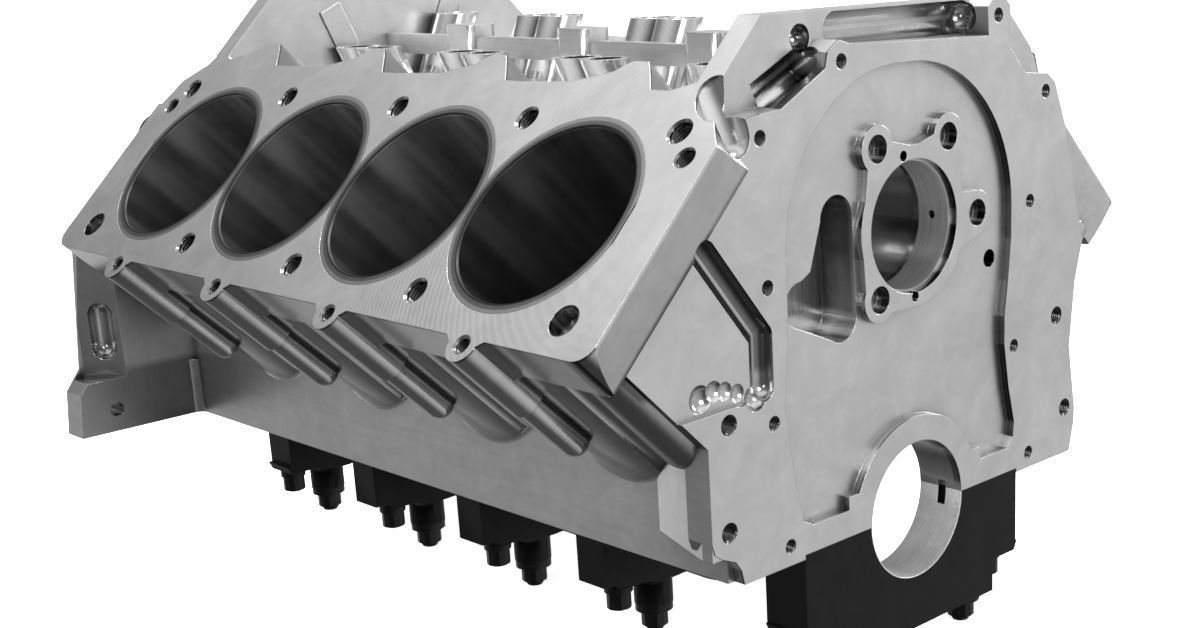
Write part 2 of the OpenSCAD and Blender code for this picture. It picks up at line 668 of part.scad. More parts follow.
module cap_ring_dowels() {
  color("gray") at_studs(true) difference() {
    translate([0, 0, -dowel_h / 2]) cylinder(r = inner_stud_d / 2 + dowel_wall, h = dowel_h);
    translate([0, 0, -dowel_h]) cylinder(d = inner_stud_d + 2 * fit, h = 2 * dowel_h);
  }
}

module cam_bearing(k) {
  color("#6b6a66") translate([0, main_y(k) - cam_bearing_l / 2, cam_h]) rotate([-90, 0, 0]) difference() {
    cylinder(r = cam_seat_r - fit / 2, h = cam_bearing_l);
    translate([0, 0, -1]) cylinder(d = cam_bearing_d, h = cam_bearing_l + 2);
    translate([cam_bearing_d / 2 - 6, 0, cam_bearing_l / 2 + 1.8]) rotate([0, 90, 0]) cylinder(r = 2.6, h = 12);
  }
}

module bell_dowels() {
  color("gray") for (p = bell_dowels_at) translate([p[0], block_end_y - 14, p[1]]) rotate([-90, 0, 0]) {
    cylinder(d = bell_dowel_d, h = 26);
    translate([0, 0, 26]) cylinder(d1 = bell_dowel_d, d2 = bell_dowel_d - 4, h = 3);
  }
}

// Pressed cup that closes the rear end of the cam tunnel
module cam_core_plug() {
  color("silver") translate([0, block_end_y - 12, cam_h]) rotate([-90, 0, 0]) difference() {
    cylinder(r = cam_seat_r - fit / 2, h = 9);
    translate([0, 0, 2]) cylinder(r = cam_seat_r - 2.5, h = 9);
  }
}

// Screwed plug in the rear end of the left bank
module bank_end_plug() {
  color("#202020") bank_frame(left)
    translate([28, deck_rear(left), deck_h - 22]) rotate([90, 0, 0]) {
      cylinder(r = 13 - fit, h = 11);
      translate([0, 0, -8]) cylinder(r = 20, h = 8);
    }
}

engine_block();
cylinder_liner(1);  // cylinder_liner_1
cylinder_liner(2);  // cylinder_liner_2
cylinder_liner(3);  // cylinder_liner_3
cylinder_liner(4);  // cylinder_liner_4
cylinder_liner(5);  // cylinder_liner_5
cylinder_liner(6);  // cylinder_liner_6
cylinder_liner(7);  // cylinder_liner_7
cylinder_liner(8);  // cylinder_liner_8
main_cap(0);  // main_cap_1
main_cap(1);  // main_cap_2
main_cap(2);  // main_cap_3
main_cap(3);  // main_cap_4
main_cap(4);  // main_cap_5
cam_bearing(0);  // cam_bearing_1
cam_bearing(1);  // cam_bearing_2
cam_bearing(2);  // cam_bearing_3
cam_bearing(3);  // cam_bearing_4
cam_bearing(4);  // cam_bearing_5
inner_main_studs();
outer_main_studs();
inner_main_nuts();
outer_main_nuts();
main_washers();
cap_ring_dowels();
bell_dowels();
cam_core_plug();
bank_end_plug();
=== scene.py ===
import math

import bmesh
import bpy
from mathutils import Matrix, Vector


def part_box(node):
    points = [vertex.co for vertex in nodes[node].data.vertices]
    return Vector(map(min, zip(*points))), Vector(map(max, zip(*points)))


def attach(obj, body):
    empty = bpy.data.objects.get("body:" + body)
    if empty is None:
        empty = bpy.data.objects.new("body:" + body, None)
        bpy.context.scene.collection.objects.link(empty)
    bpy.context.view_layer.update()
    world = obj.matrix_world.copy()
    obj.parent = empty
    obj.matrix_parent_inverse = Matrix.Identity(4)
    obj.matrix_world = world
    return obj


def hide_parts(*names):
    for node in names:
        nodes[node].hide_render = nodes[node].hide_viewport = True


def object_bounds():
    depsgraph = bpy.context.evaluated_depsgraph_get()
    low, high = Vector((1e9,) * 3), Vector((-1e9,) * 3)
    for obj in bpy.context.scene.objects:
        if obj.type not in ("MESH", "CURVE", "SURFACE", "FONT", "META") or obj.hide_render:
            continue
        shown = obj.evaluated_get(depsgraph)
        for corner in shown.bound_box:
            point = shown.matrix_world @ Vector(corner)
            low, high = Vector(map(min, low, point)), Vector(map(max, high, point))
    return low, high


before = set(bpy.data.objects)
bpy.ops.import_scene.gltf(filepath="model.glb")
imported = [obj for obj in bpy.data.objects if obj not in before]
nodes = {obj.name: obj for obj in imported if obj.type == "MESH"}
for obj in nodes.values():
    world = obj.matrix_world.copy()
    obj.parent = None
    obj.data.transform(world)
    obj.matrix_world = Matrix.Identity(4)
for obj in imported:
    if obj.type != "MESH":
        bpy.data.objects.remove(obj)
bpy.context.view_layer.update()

# The engine block, milled from one aluminium billet: decks, barrels, webs, cam tunnel and flanges.
# Its faces are bare metal as the cutters left them: satin where a face mill passed, streaked on the
# sides and glossy where a ball-nosed cutter left a hollow.


class Socket:
    """A shader socket that takes part in Python arithmetic by adding Math nodes."""

    def __init__(self, tree, out):
        self.tree = tree
        self.out = out

    def node(self, kind, settings=None, **inputs):
        """A new node with its settings, and its inputs given by name or by place as i0, i1 and so on."""
        made = self.tree.nodes.new(kind)
        for name, value in (settings or {}).items():
            setattr(made, name, value)
        for name, value in inputs.items():
            index = int(name[1:]) if name[0] == "i" and name[1:].isdigit() else name
            if isinstance(value, Socket):
                self.tree.links.new(value.out, made.inputs[index])
            else:
                made.inputs[index].default_value = value
        return made

    def math(self, operation, other=0.0):
        made = self.node("ShaderNodeMath", {"operation": operation}, i0=self, i1=other)
        return Socket(self.tree, made.outputs[0])

    def __add__(self, other):
        return self.math("ADD", other)

    __radd__ = __add__

    def __mul__(self, other):
        return self.math("MULTIPLY", other)

    __rmul__ = __mul__

    def __sub__(self, other):
        return self.math("SUBTRACT", other)

    def __rsub__(self, other):
        return self * -1.0 + other

    def axes(self):
        made = self.node("ShaderNodeSeparateXYZ", i0=self)
        return [Socket(self.tree, out) for out in made.outputs]

    def dot(self, direction):
        made = self.node("ShaderNodeVectorMath", {"operation": "DOT_PRODUCT"}, i0=self, i1=direction)
        return Socket(self.tree, made.outputs["Value"])

    def scaled(self, factors):
        made = self.node("ShaderNodeVectorMath", {"operation": "MULTIPLY"}, i0=self, i1=factors)
        return Socket(self.tree, made.outputs[0])

    def rise(self, low, high):
        """0 below low, 1 above high and smooth between."""
        made = self.node("ShaderNodeMapRange", {"interpolation_type": "SMOOTHSTEP"},
                         i0=self, i1=low, i2=high, i3=0.0, i4=1.0)
        return Socket(self.tree, made.outputs[0])

    def fall(self, low, high):
        """1 below low, 0 above high and smooth between."""
        return 1.0 - self.rise(low, high)

    def inside(self, first_edge, last_edge):
        """1 between two soft edges, each given by where it starts and where it ends."""
        return self.rise(*first_edge) * self.fall(*last_edge)

    def noise(self, scale, detail=2.0, rough=0.5, swirl=0.0):
        made = self.node("ShaderNodeTexNoise", Vector=self, Scale=scale, Detail=detail, Roughness=rough,
                         Distortion=swirl)
        return Socket(self.tree, made.outputs[0])

    def open_sky(self, reach):
        """1 out in the open and less in hollows, seen within a short reach."""
        made = self.node("ShaderNodeAmbientOcclusion", {"samples": 4, "only_local": True},
                         Distance=reach)
        return Socket(self.tree, made.outputs["AO"])

    def beside(self, second, third):
        """A vector of three numbers, this one first."""
        made = self.node("ShaderNodeCombineXYZ", i0=self, i1=second, i2=third)
        return Socket(self.tree, made.outputs[0])

    def grey(self):
        """The number as a grey colour."""
        made = self.node("ShaderNodeCombineColor", i0=self, i1=self, i2=self)
        return Socket(self.tree, made.outputs[0])


def surface(name, roughness=0.3, metallic=1.0):
    """A metal material, its shader and the object coordinates in metres."""
    made = bpy.data.materials.new(name)
    made.use_nodes = True
    tree = made.node_tree
    shader = tree.nodes["Principled BSDF"]
    shader.inputs["Roughness"].default_value = roughness
    shader.inputs["Metallic"].default_value = metallic
    coordinates = Socket(tree, None).node("ShaderNodeTexCoord")
    return made, shader, Socket(tree, coordinates.outputs["Object"])


def wire(shader, name, value):
    value.tree.links.new(value.out, shader.inputs[name])


def true_normal(where):
    return Socket(where.tree, where.node("ShaderNodeNewGeometry").outputs["Normal"])


def broken_edge(where, radius):
    """The normal with corners rounded to a small radius."""
    bevel = where.node("ShaderNodeBevel", {"samples": 4}, Radius=radius)
    return Socket(where.tree, bevel.outputs[0])


def corner_mask(rounded):
    """1 at a corner, where the rounded normal turns away from the true one."""
    return rounded.dot(true_normal(rounded)).fall(0.9, 0.99)


def relief(where, height, strength, depth, under):
    made = where.node("ShaderNodeBump", Strength=strength, Distance=depth, Height=height, Normal=under)
    return Socket(where.tree, made.outputs[0])


def painted_shade(tone, share, mask):
    """The tone, lowered by a share of itself where the mask is 1: painted shade."""
    return tone * (1.0 - share * mask)


def dress(node_names, material):
    for name in node_names:
        slots = nodes[name].data.materials
        slots.clear()
        slots.append(material)


half = math.sqrt(0.5)
cam_height = 0.1711
# places on the block in metres, each a soft edge from where it starts to where it ends
bank_underside_y = (0.02, 0.09)
deck_edge_z = (0.10, 0.24)
front_plane_y = (-0.0010, 0.0)
countersink_y = (0.0012, 0.0020)
deck_sink_mouth = (0.2817, 0.2820)
deck_sink_foot = (0.2800, 0.2804)
groove_floor_y = (0.009, 0.010)
groove_low_z = (0.108, 0.114)
groove_high_z = (0.190, 0.194)
groove_inner_x = (-0.118, -0.114)
recess_floor_y = (0.0052, 0.0056)
recess_arc_x = (0.0, 0.03)
recess_side_inner_x = (0.07, 0.08)
recess_side_outer_x = (0.11, 0.12)
bell_flange_y = (0.56, 0.58)
bell_side_x = (0.175, 0.245)
bell_foot_z = (0.038, 0.046)
cam_wall_r = (0.044, 0.045)
cam_wall_y = (0.05, 0.06)
pocket_left_x = (-0.081, -0.077)
pocket_right_x = (-0.047, -0.045)
pocket_front_y = (0.006, 0.009)
pocket_back_y = (0.031, 0.032)
pocket_low_z = (0.126, 0.130)
pocket_high_z = (0.198, 0.199)

billet, shader, where = surface("billet_aluminium")
x, y, z = where.axes()
normal = true_normal(where)
facing = (0.985, 0.998)
deck_face = normal.dot((-half, 0, half)).rise(*facing) + normal.dot((half, 0, half)).rise(*facing)
front_face = normal.dot((0, -1, 0)).rise(*facing)
side_face = normal.dot((1, 0, 0)).math("ABSOLUTE").rise(*facing)
level_face = normal.dot((0, 0, 1)).math("ABSOLUTE").rise(*facing)
flat_face = (deck_face + front_face + side_face + level_face).math("MINIMUM", 1.0)
hollow = 1.0 - flat_face
sideways = x.math("ABSOLUTE")

# soft patches where the mill's passes met
cloud = where.noise(13.0, 4.0, 0.6, 1.2)
fine_cloud = where.noise(70.0, 2.0, 0.6)
brushed = where.scaled((30.0, 14.0, 420.0)).noise(1.0, 3.0, 0.6)
patches = where.noise(26.0, 2.0, 0.7, 2.0).rise(0.35, 0.7)
rounded = broken_edge(where, 0.0007)
corner = corner_mask(rounded)
bare_tone = 0.62
tone = bare_tone + 0.24 * cloud + 0.08 * fine_cloud - 0.16 * side_face * brushed + 0.06 * patches
# painted highlight: the broken edges are lighter in the colour
tone = tone + 0.07 * corner

# painted shade: hollows and grooves are darker, less so where a face looks front or up
shade = where.open_sky(0.014).rise(0.35, 0.95)
tone = tone * (shade + (1.0 - shade) * (0.15 + 0.5 * (front_face + deck_face)))

# painted shade on the leaning front edge of a deck, less of it higher up, and on the undersides of the
# banks
deck_edge = normal.dot((0.159, -0.974, -0.159)).rise(0.990, 0.998) * (1.0 - front_face)
underside = normal.dot((-half, 0, -half)).rise(0.2, 0.9) * y.fall(*bank_underside_y)
tone = painted_shade(tone, 0.26 - 0.10 * z.rise(*deck_edge_z), deck_edge)
tone = painted_shade(tone, 0.4, underside)

# painted shade along the floor of the milled groove beside the front flange
groove = hollow * y.inside(front_plane_y, groove_floor_y) * z.inside(groove_low_z, groove_high_z)
tone = painted_shade(tone, 0.6, groove * x.fall(*groove_inner_x))

# painted shade in the countersinks, in the front and in the decks
deck_reach = (sideways + z) * half
sinks = hollow * y.inside(front_plane_y, countersink_y)
sinks = sinks + hollow * deck_reach.inside(deck_sink_foot, deck_sink_mouth)
tone = painted_shade(tone, 0.6, sinks.math("MINIMUM", 1.0))

# painted shade on the wall of the timing recess, which is an arc above and upright below
recess_wall = hollow * y.inside(front_plane_y, recess_floor_y) * x.rise(*recess_arc_x)
upright_wall = side_face * y.fall(*recess_floor_y) * x.inside(recess_side_inner_x, recess_side_outer_x)
tone = painted_shade(tone, 0.6, recess_wall + upright_wall)

# painted shade on the front of the bell housing flange, beside the crankcase and most of all at its foot
bell_front = front_face * y.rise(*bell_flange_y)
bell_painted_shade = bell_front * (0.15 + 0.5 * sideways.fall(*bell_side_x))
bell_painted_shade = bell_painted_shade + 0.60 * bell_front * z.fall(*bell_foot_z)
tone = painted_shade(tone, 1.0, bell_painted_shade.math("MINIMUM", 0.82))

# painted shade on the bored wall before the front cam bearing
above_cam = z - cam_height
from_cam = (x * x + above_cam * above_cam).math("SQRT")
tone = painted_shade(tone, 0.5, hollow * from_cam.fall(*cam_wall_r) * y.fall(*cam_wall_y))

# painted shade in the deep pocket beside the cam boss, lessened along upright streaks of the long end
# mill
pocket = x.inside(pocket_left_x, pocket_right_x) * y.inside(pocket_front_y, pocket_back_y)
pocket = pocket * z.inside(pocket_low_z, pocket_high_z)
streaked = where.scaled((700.0, 90.0, 20.0)).noise(1.0, 3.0, 0.6)
tone = painted_shade(tone, 0.78 - 0.5 * streaked, pocket)

brightest_metal = 0.96
glossiest_metal = 0.12
wire(shader, "Base Color", tone.math("MINIMUM", brightest_metal).grey())
rough = 0.17 + 0.15 * flat_face + 0.12 * (cloud - 0.5) + 0.05 * side_face - 0.05 * corner
wire(shader, "Roughness", rough.math("MAXIMUM", glossiest_metal))

# arcs of the face mill on the decks and the front
cutter_pitch = 0.0016
wave_period = math.pi / 10
arcs = where.node("ShaderNodeTexWave", {"wave_type": "RINGS", "rings_direction": "SPHERICAL"},
                  Vector=where, Scale=wave_period / cutter_pitch, Distortion=1.5, Detail=1.0)
marks = Socket(where.tree, arcs.outputs[1])
lines = where.scaled((900.0, 60.0, 60.0)).noise(1.0, 2.0, 0.5)
mill_marks = flat_face * marks * 0.5 + hollow * lines + 0.4 * fine_cloud
wire(shader, "Normal", relief(where, mill_marks, 0.12, 0.0004, rounded))
dress(["engine_block"], billet)

# Threads of the tapped holes, cut with a tap into the billet. Each is a fine ridge that winds down
# the wall of its hole, a little short of the mouth.
bore_pitch = 0.12294
first_bore = 0.0856
bank_stagger = 0.0244
# how far back the first bore of the left bank, side -1, and of the right bank, side 1, stands
first_bore_y = {-1: first_bore, 1: first_bore + bank_stagger}
deck_height = 0.2816
forward = Vector((0, -1, 0))
cam_plate_y = 0.009
cam_centre = Vector((0, cam_plate_y, cam_height))
head_stud_t = 0.0585
head_stud_seat = 0.012
cover_bolt_t = 0.0428
cover_bolt_ahead = {-1: 0.076, 1: 0.070}
cover_bolt_behind = 0.073
tab_stud_t = 0.083
# x and z of the tapped holes in millimetres: in the front face, and round the cam bore from its centre
front_small_tapped = [(-124.5, 234.8), (-122.7, 156.4), (-121, 81.8), (-111.3, 8.6), (-60.5, 268.6),
                      (79.3, 284.6), (128, 236.3), (112.3, 170.6), (96.4, 81.5), (112.7, 7.6)]
front_large_tapped = [(-155.1, 88.8), (-157.8, 29.7), (142.4, 92.4), (152.9, 28.6)]
cam_plate_tapped = [(-31.9, 47.6), (31.3, 48.1), (58.8, -0.2), (-31.6, -37.6)]
# each kind of thread: radius of the hole, depth, pitch, and how far below the mouth it starts
small_bolt = (0.0036, 0.012, 0.00125, 0.0008)
large_bolt = (0.005, 0.018, 0.0015, 0.0008)
plate_bolt = (0.004, 0.011, 0.00125, 0.0008)
head_stud = (0.0068, 0.03, 0.0018, 0.003)
sunk_head_stud = (0.0068, 0.03, 0.0018, 0.001)
tab_stud = (0.0043, 0.02, 0.0014, 0.002)
cover_bolt = (0.0056, 0.02, 0.0015, 0.002)
steps_a_turn = 20
# half the width and the height of the ridge as shares of its pitch, and how far its root is sunk
half_root = 0.4
crest_height = 0.42
sunk = 0.0001
thread_points = []
thread_faces = []


def wind_thread(mouth, outward, hole_r, depth, pitch, lead_in):
    """A ridge of triangular section round the wall of a hole, its root just inside the metal."""
    beside = outward.orthogonal().normalized()
    across = outward.cross(beside)
    root_r = hole_r + sunk
    crest_r = hole_r - crest_height * pitch
    section = ((root_r, -half_root), (crest_r, 0.0), (root_r, half_root))
    rings = int((depth - lead_in) / pitch * steps_a_turn)
    first = len(thread_points)
    for ring in range(rings + 1):
        turned = 2 * math.pi * ring / steps_a_turn
        spoke = beside * math.cos(turned) + across * math.sin(turned)
        down = lead_in + pitch * ring / steps_a_turn
        for reach, shift in section:
            thread_points.append(mouth + spoke * reach - outward * (down + shift * pitch))
    for ring in range(rings):
        at = first + 3 * ring
        for corner_number in range(3):
            following = (corner_number + 1) % 3
            thread_faces.append((at + corner_number, at + following,
                                 at + 3 + following, at + 3 + corner_number))
    last = first + 3 * rings
    thread_faces.append((first, first + 2, first + 1))
    thread_faces.append((last, last + 1, last + 2))


def in_front(x_mm, z_mm):
    return Vector((x_mm / 1000, 0, z_mm / 1000))


def mesh_of(name, points, faces):
    made = bpy.data.meshes.new(name)
    made.from_pydata(points, [], faces)
    return made


def place(name, data):
    """A new object in the scene, at the origin."""
    made = bpy.data.objects.new(name, data)
    bpy.context.collection.objects.link(made)
    return made


for spot in front_small_tapped:
    wind_thread(in_front(*spot), forward, *small_bolt)
for spot in front_large_tapped:
    wind_thread(in_front(*spot), forward, *large_bolt)
for spot in cam_plate_tapped:
    wind_thread(in_front(*spot) + cam_centre, forward, *plate_bolt)
for side, start_y in first_bore_y.items():
    outward = Vector((side * half, 0, half)).normalized()
    upward = Vector((-side * half, 0, half))
    deck_middle = outward * deck_height
    for gap in range(5):
        stud_y = Vector((0, start_y + (gap - 0.5) * bore_pitch, 0))
        wind_thread(deck_middle + upward * head_stud_t + stud_y, outward, *head_stud)
        lower_mouth = deck_middle - upward * head_stud_t + stud_y
        if gap in (0, 4):
            wind_thread(lower_mouth - outward * head_stud_seat, outward, *sunk_head_stud)
        else:
            wind_thread(lower_mouth, outward, *head_stud)
    for bore in range(4):
        tab_y = Vector((0, start_y + bore * bore_pitch, 0))
        wind_thread(deck_middle - upward * tab_stud_t + tab_y, outward, *tab_stud)
    for past_bore in (-cover_bolt_ahead[side], 3 * bore_pitch + cover_bolt_behind):
        cover_y = Vector((0, start_y + past_bore, 0))
        wind_thread(deck_middle + upward * cover_bolt_t + cover_y, outward, *cover_bolt)
thread_mesh = mesh_of("tapped_threads", thread_points, thread_faces)
tapped_threads = place("tapped_threads", thread_mesh)
thread_cut, shader, where = surface("thread_cut", 0.25)
# the near-black colour of the threads is painted shade inside the tapped holes
wire(shader, "Base Color", (0.05 + 0.08 * where.noise(150.0)).grey())
thread_mesh.materials.append(thread_cut)
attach(tapped_threads, "root")

# Fillets at the feet of the barrels, left by a ball-nosed cutter where each barrel runs into the side
# of the crankcase. They fade out toward both ends of their sweep.
side_wall_x = 0.1529
barrel_r = 0.0786
fillet_r = 0.006
sweep_angle = math.radians(70)
fade_rate = 4
least_fade = 0.15
hidden_depth = 0.0006
along_steps = 28
arc_steps = 6
fillet_points = []
fillet_faces = []


def run_fillet(side, middle_y):
    """The fillet of one barrel, its back just inside the metal."""
    first = len(fillet_points)
    section = arc_steps + 2
    from_wall = Vector((side, 0, 0))
    for step in range(along_steps + 1):
        turned = sweep_angle * (2 * step / along_steps - 1)
        reach_t = -barrel_r * math.cos(turned)
        reach_h = reach_t + side_wall_x / half
        corner_at = Vector((side * (reach_h - reach_t) * half, middle_y + barrel_r * math.sin(turned),
                            (reach_t + reach_h) * half))
        from_barrel = Vector((side * half * math.cos(turned), math.sin(turned),
                              -half * math.cos(turned)))
        between = from_barrel.dot(from_wall)
        opening = math.acos(between)
        ball_r = fillet_r * min(1.0, fade_rate * (1 - abs(turned) / sweep_angle) + least_fade)
        ball = corner_at + (from_barrel + from_wall) * (ball_r / (1 + between))
        for arc in range(arc_steps + 1):
            part = arc / arc_steps
            barrel_share = math.sin((1 - part) * opening) / math.sin(opening)
            wall_share = math.sin(part * opening) / math.sin(opening)
            toward_metal = from_barrel * barrel_share + from_wall * wall_share
            fillet_points.append(ball - toward_metal * (ball_r + sunk))
        fillet_points.append(corner_at - (from_barrel + from_wall) * hidden_depth)
    for step in range(along_steps):
        for arc in range(section):
            here = first + step * section + arc
            following = first + step * section + (arc + 1) % section
            fillet_faces.append((here, following, following + section, here + section))
    fillet_faces.append(tuple(first + arc for arc in range(section))[::-1])
    fillet_faces.append(tuple(first + along_steps * section + arc for arc in range(section)))


for side, start_y in first_bore_y.items():
    for bore in range(4):
        run_fillet(side, start_y + bore * bore_pitch)
fillet_mesh = mesh_of("barrel_fillets", fillet_points, fillet_faces)
fillet_mesh.shade_smooth()
fillet_mesh.materials.append(billet)
barrel_fillets = place("barrel_fillets", fillet_mesh)
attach(barrel_fillets, "root")

# The cylinder liners, flanged iron sleeves pressed into the decks. The flange is turned, with a darker
# inner band, and the bore is honed in a fine cross hatch.
# The lip and the bore are painted dark as shade, and the foremost bore is painted darkest.
liner_bore_r = 0.0566
liner_lip_r = 0.0583
liner_band_r = 0.0609
turning_pitch = 0.0008
hatch_pitch = 0.0011
behind_first_bore_y = (0.14, 0.16)
for side, word, liner_numbers in ((-1, "left", range(1, 5)), (1, "right", range(5, 9))):
    iron, shader, where = surface(f"liner_iron_{word}")
    x, y, z = where.axes()
    across = (z - side * x) * half
    down = (z + side * x) * half
    bore_number = (y - (first_bore_y[side] - bore_pitch / 2)) * (1 / bore_pitch)
    along = (bore_number.math("FRACT") - 0.5) * bore_pitch
    radius = (across * across + along * along).math("SQRT")
    angle = along.math("ARCTAN2", across) * liner_bore_r
    in_bore = radius.fall(liner_bore_r + 0.0002, liner_bore_r + 0.0006)
    lip = radius.fall(liner_lip_r, liner_lip_r + 0.0003)
    outer_band = radius.rise(liner_band_r - 0.0003, liner_band_r + 0.0003)
    rings = (radius * (2 * math.pi / turning_pitch)).math("SINE")
    grain = where.noise(90.0, 2.0, 0.6)
    # the lip at the bore is darkened: painted shade
    flange_tone = painted_shade(0.14 + 0.22 * outer_band + 0.03 * rings + 0.06 * grain, 0.75, lip)
    bands = (angle * 36.0).beside(down * 5.0, 0.0).noise(1.0, 2.0, 0.6).rise(0.35, 0.7)
    # painted shade: the bore is near black, with random bands, and the foremost bore is darker still
    bore_tone = 0.012 + 0.05 * bands + 0.02 * grain
    bore_tone = bore_tone * (0.55 + 0.75 * y.rise(*behind_first_bore_y))
    wire(shader, "Base Color", (flange_tone * (1.0 - in_bore) + bore_tone * in_bore).grey())
    wire(shader, "Roughness", 0.28 + 0.10 * grain + 0.04 * in_bore)
    wire(shader, "Metallic", 1.0 - 0.55 * in_bore)
    hatch_turn = 2 * math.pi / hatch_pitch
    hatch = ((angle + down) * hatch_turn).math("SINE") + ((angle - down) * hatch_turn).math("SINE")
    rounded = broken_edge(where, 0.0004)
    wire(shader, "Normal", relief(where, hatch * in_bore, 0.08, 0.0002, rounded))
    dress([f"cylinder_liner_{number}" for number in liner_numbers], iron)

# The main caps, milled from steel and blackened. Their half of the main bore is line bored
# with the block afterwards, so it is bright.
main_bore_r = 0.0423
cap_black, shader, where = surface("cap_black")
from_crank = where.scaled((1.0, 0.0, 1.0))
radius = from_crank.dot(from_crank).math("SQRT")
bored = radius.fall(main_bore_r + 0.0002, main_bore_r + 0.0006)
streaks = where.scaled((40.0, 500.0, 40.0)).noise(1.0, 3.0, 0.6)
grain = where.noise(60.0, 3.0, 0.6)
rounded = broken_edge(where, 0.0006)
# the lighter edges are a painted highlight on the black caps
black_tone = 0.018 + 0.02 * grain + 0.05 * corner_mask(rounded)
bright_tone = 0.55 + 0.40 * streaks
wire(shader, "Base Color", (black_tone * (1.0 - bored) + bright_tone * bored).grey())
wire(shader, "Roughness", 0.36 + 0.12 * grain - 0.14 * bored)
wire(shader, "Metallic", 1.0 - 0.3 * bored)
wire(shader, "Normal", relief(where, streaks + 0.5 * grain, 0.06, 0.0003, rounded))
dress([name for name in nodes if name.startswith("main_cap")], cap_black)

# The four rear caps stand on round bosses under their inner studs, turned down from square blocks.
# A ring, square outside and round inside, takes off the corners of each block.
inner_stud_x = 0.074
boss_r = 0.0126
boss_top = -0.0592
boss_foot = -0.079
block_reach = 0.018
boss_steps = 48
smooth_below = math.radians(30)


def corners_to_turn_off(middle_y):
    """The mesh of the two square rings round the inner studs of a cap."""
    form = bmesh.new()
    for side in (-1, 1):
        walls = []
        for level in (boss_foot, boss_top):
            middle = Vector((side * inner_stud_x, middle_y, level))
            inner_ring = []
            outer_ring = []
            for step in range(boss_steps):
                turned = 2 * math.pi * (step + 0.5) / boss_steps
                spoke = Vector((math.cos(turned), math.sin(turned), 0))
                square_reach = block_reach / max(abs(spoke.x), abs(spoke.y))
                inner_ring.append(form.verts.new(middle + spoke * boss_r))
                outer_ring.append(form.verts.new(middle + spoke * square_reach))
            walls.append((inner_ring, outer_ring))
        (low_in, low_out), (high_in, high_out) = walls
        for step in range(boss_steps):
            after = (step + 1) % boss_steps
            form.faces.new((low_in[step], low_in[after], high_in[after], high_in[step]))
            form.faces.new((low_out[after], low_out[step], high_out[step], high_out[after]))
            form.faces.new((low_in[after], low_in[step], low_out[step], low_out[after]))
            form.faces.new((high_in[step], high_in[after], high_out[after], high_out[step]))
    bmesh.ops.recalc_face_normals(form, faces=form.faces)
    made = bpy.data.meshes.new("collar")
    form.to_mesh(made)
    form.free()
    return made


def joined_copy(mesh, name):
    """A copy of a mesh whose faces share their corner points."""
    form = bmesh.new()
    form.from_mesh(mesh)
    bmesh.ops.remove_doubles(form, verts=form.verts, dist=1e-6)
    made = bpy.data.meshes.new(name)
    form.to_mesh(made)
    form.free()
    return made


for number in range(2, 6):
    square_cap = f"main_cap_{number}"
    round_name = f"rounded_main_cap_{number}"
    cap_low, cap_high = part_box(square_cap)
    rounded_cap = place(round_name, joined_copy(nodes[square_cap].data, round_name))
    collar = place("collar", corners_to_turn_off((cap_low[1] + cap_high[1]) / 2))
    turning = rounded_cap.modifiers.new("turning", "BOOLEAN")
    turning.operation = "DIFFERENCE"
    turning.solver = "EXACT"
    turning.object = collar
    evaluated = rounded_cap.evaluated_get(bpy.context.evaluated_depsgraph_get())
    turned_mesh = bpy.data.meshes.new_from_object(evaluated)
    rounded_cap.modifiers.clear()
    rounded_cap.data = turned_mesh
    bpy.data.objects.remove(collar)
    turned_mesh.materials.clear()
    turned_mesh.materials.append(cap_black)
    turned_mesh.shade_smooth()
    turned_mesh.set_sharp_from_angle(angle=smooth_below)
    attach(rounded_cap, "root")
    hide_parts(square_cap)

# Nuts and washers that hold the caps, and the screwed plug of the left bank. They are forged and turned
# from steel with a black oxide.
stud_black, shader, where = surface("stud_black")
grain = where.noise(120.0, 2.0, 0.6)
rounded = broken_edge(where, 0.0004)
# the lighter edges are a painted highlight
wire(shader, "Base Color", (0.03 + 0.02 * grain + 0.08 * corner_mask(rounded)).grey())
wire(shader, "Roughness", 0.24 + 0.12 * grain)
wire(shader, "Normal", rounded)
dress(["inner_main_nuts", "outer_main_nuts", "main_washers", "bank_end_plug"], stud_black)

# The studs that hold the caps, black steel too, with a rolled thread at the end that takes the nut.
thread_pitch = 0.00175
stud_thread, shader, where = surface("stud_thread", 0.3)
thread = where.dot((0, 0, 2 * math.pi / thread_pitch)).math("SINE")
rounded = broken_edge(where, 0.0004)
wire(shader, "Base Color", (0.03 + 0.03 * where.noise(120.0)).grey())
wire(shader, "Normal", relief(where, thread, 0.9, 0.0006, rounded))
dress(["inner_main_studs", "outer_main_studs"], stud_thread)

# The cam bearings, thin pressed shells with a dull grey lining that the boring bar has streaked.
# They are pushed into the webs one behind the other.
shell_lining, shader, where = surface("shell_lining", metallic=0.8)
streaks = where.scaled((25.0, 700.0, 25.0)).noise(1.0, 3.0, 0.6)
rounded = broken_edge(where, 0.0003)
wire(shader, "Base Color", (0.20 + 0.60 * streaks).grey())
wire(shader, "Roughness", 0.24 + 0.16 * streaks)
wire(shader, "Normal", relief(where, streaks, 0.1, 0.0003, rounded))
dress([name for name in nodes if name.startswith("cam_bearing")], shell_lining)

# The dowels of the caps and of the bell housing, ground steel, and the pressed steel cup that closes
# the end of the cam tunnel.
ground_steel, shader, where = surface("ground_steel", 0.25)
streaks = where.scaled((60.0, 900.0, 60.0)).noise(1.0, 2.0, 0.5)
rounded = broken_edge(where, 0.0005)
wire(shader, "Base Color", (0.45 + 0.2 * streaks).grey())
wire(shader, "Normal", rounded)
dress(["cap_ring_dowels", "bell_dowels", "cam_core_plug"], ground_steel)

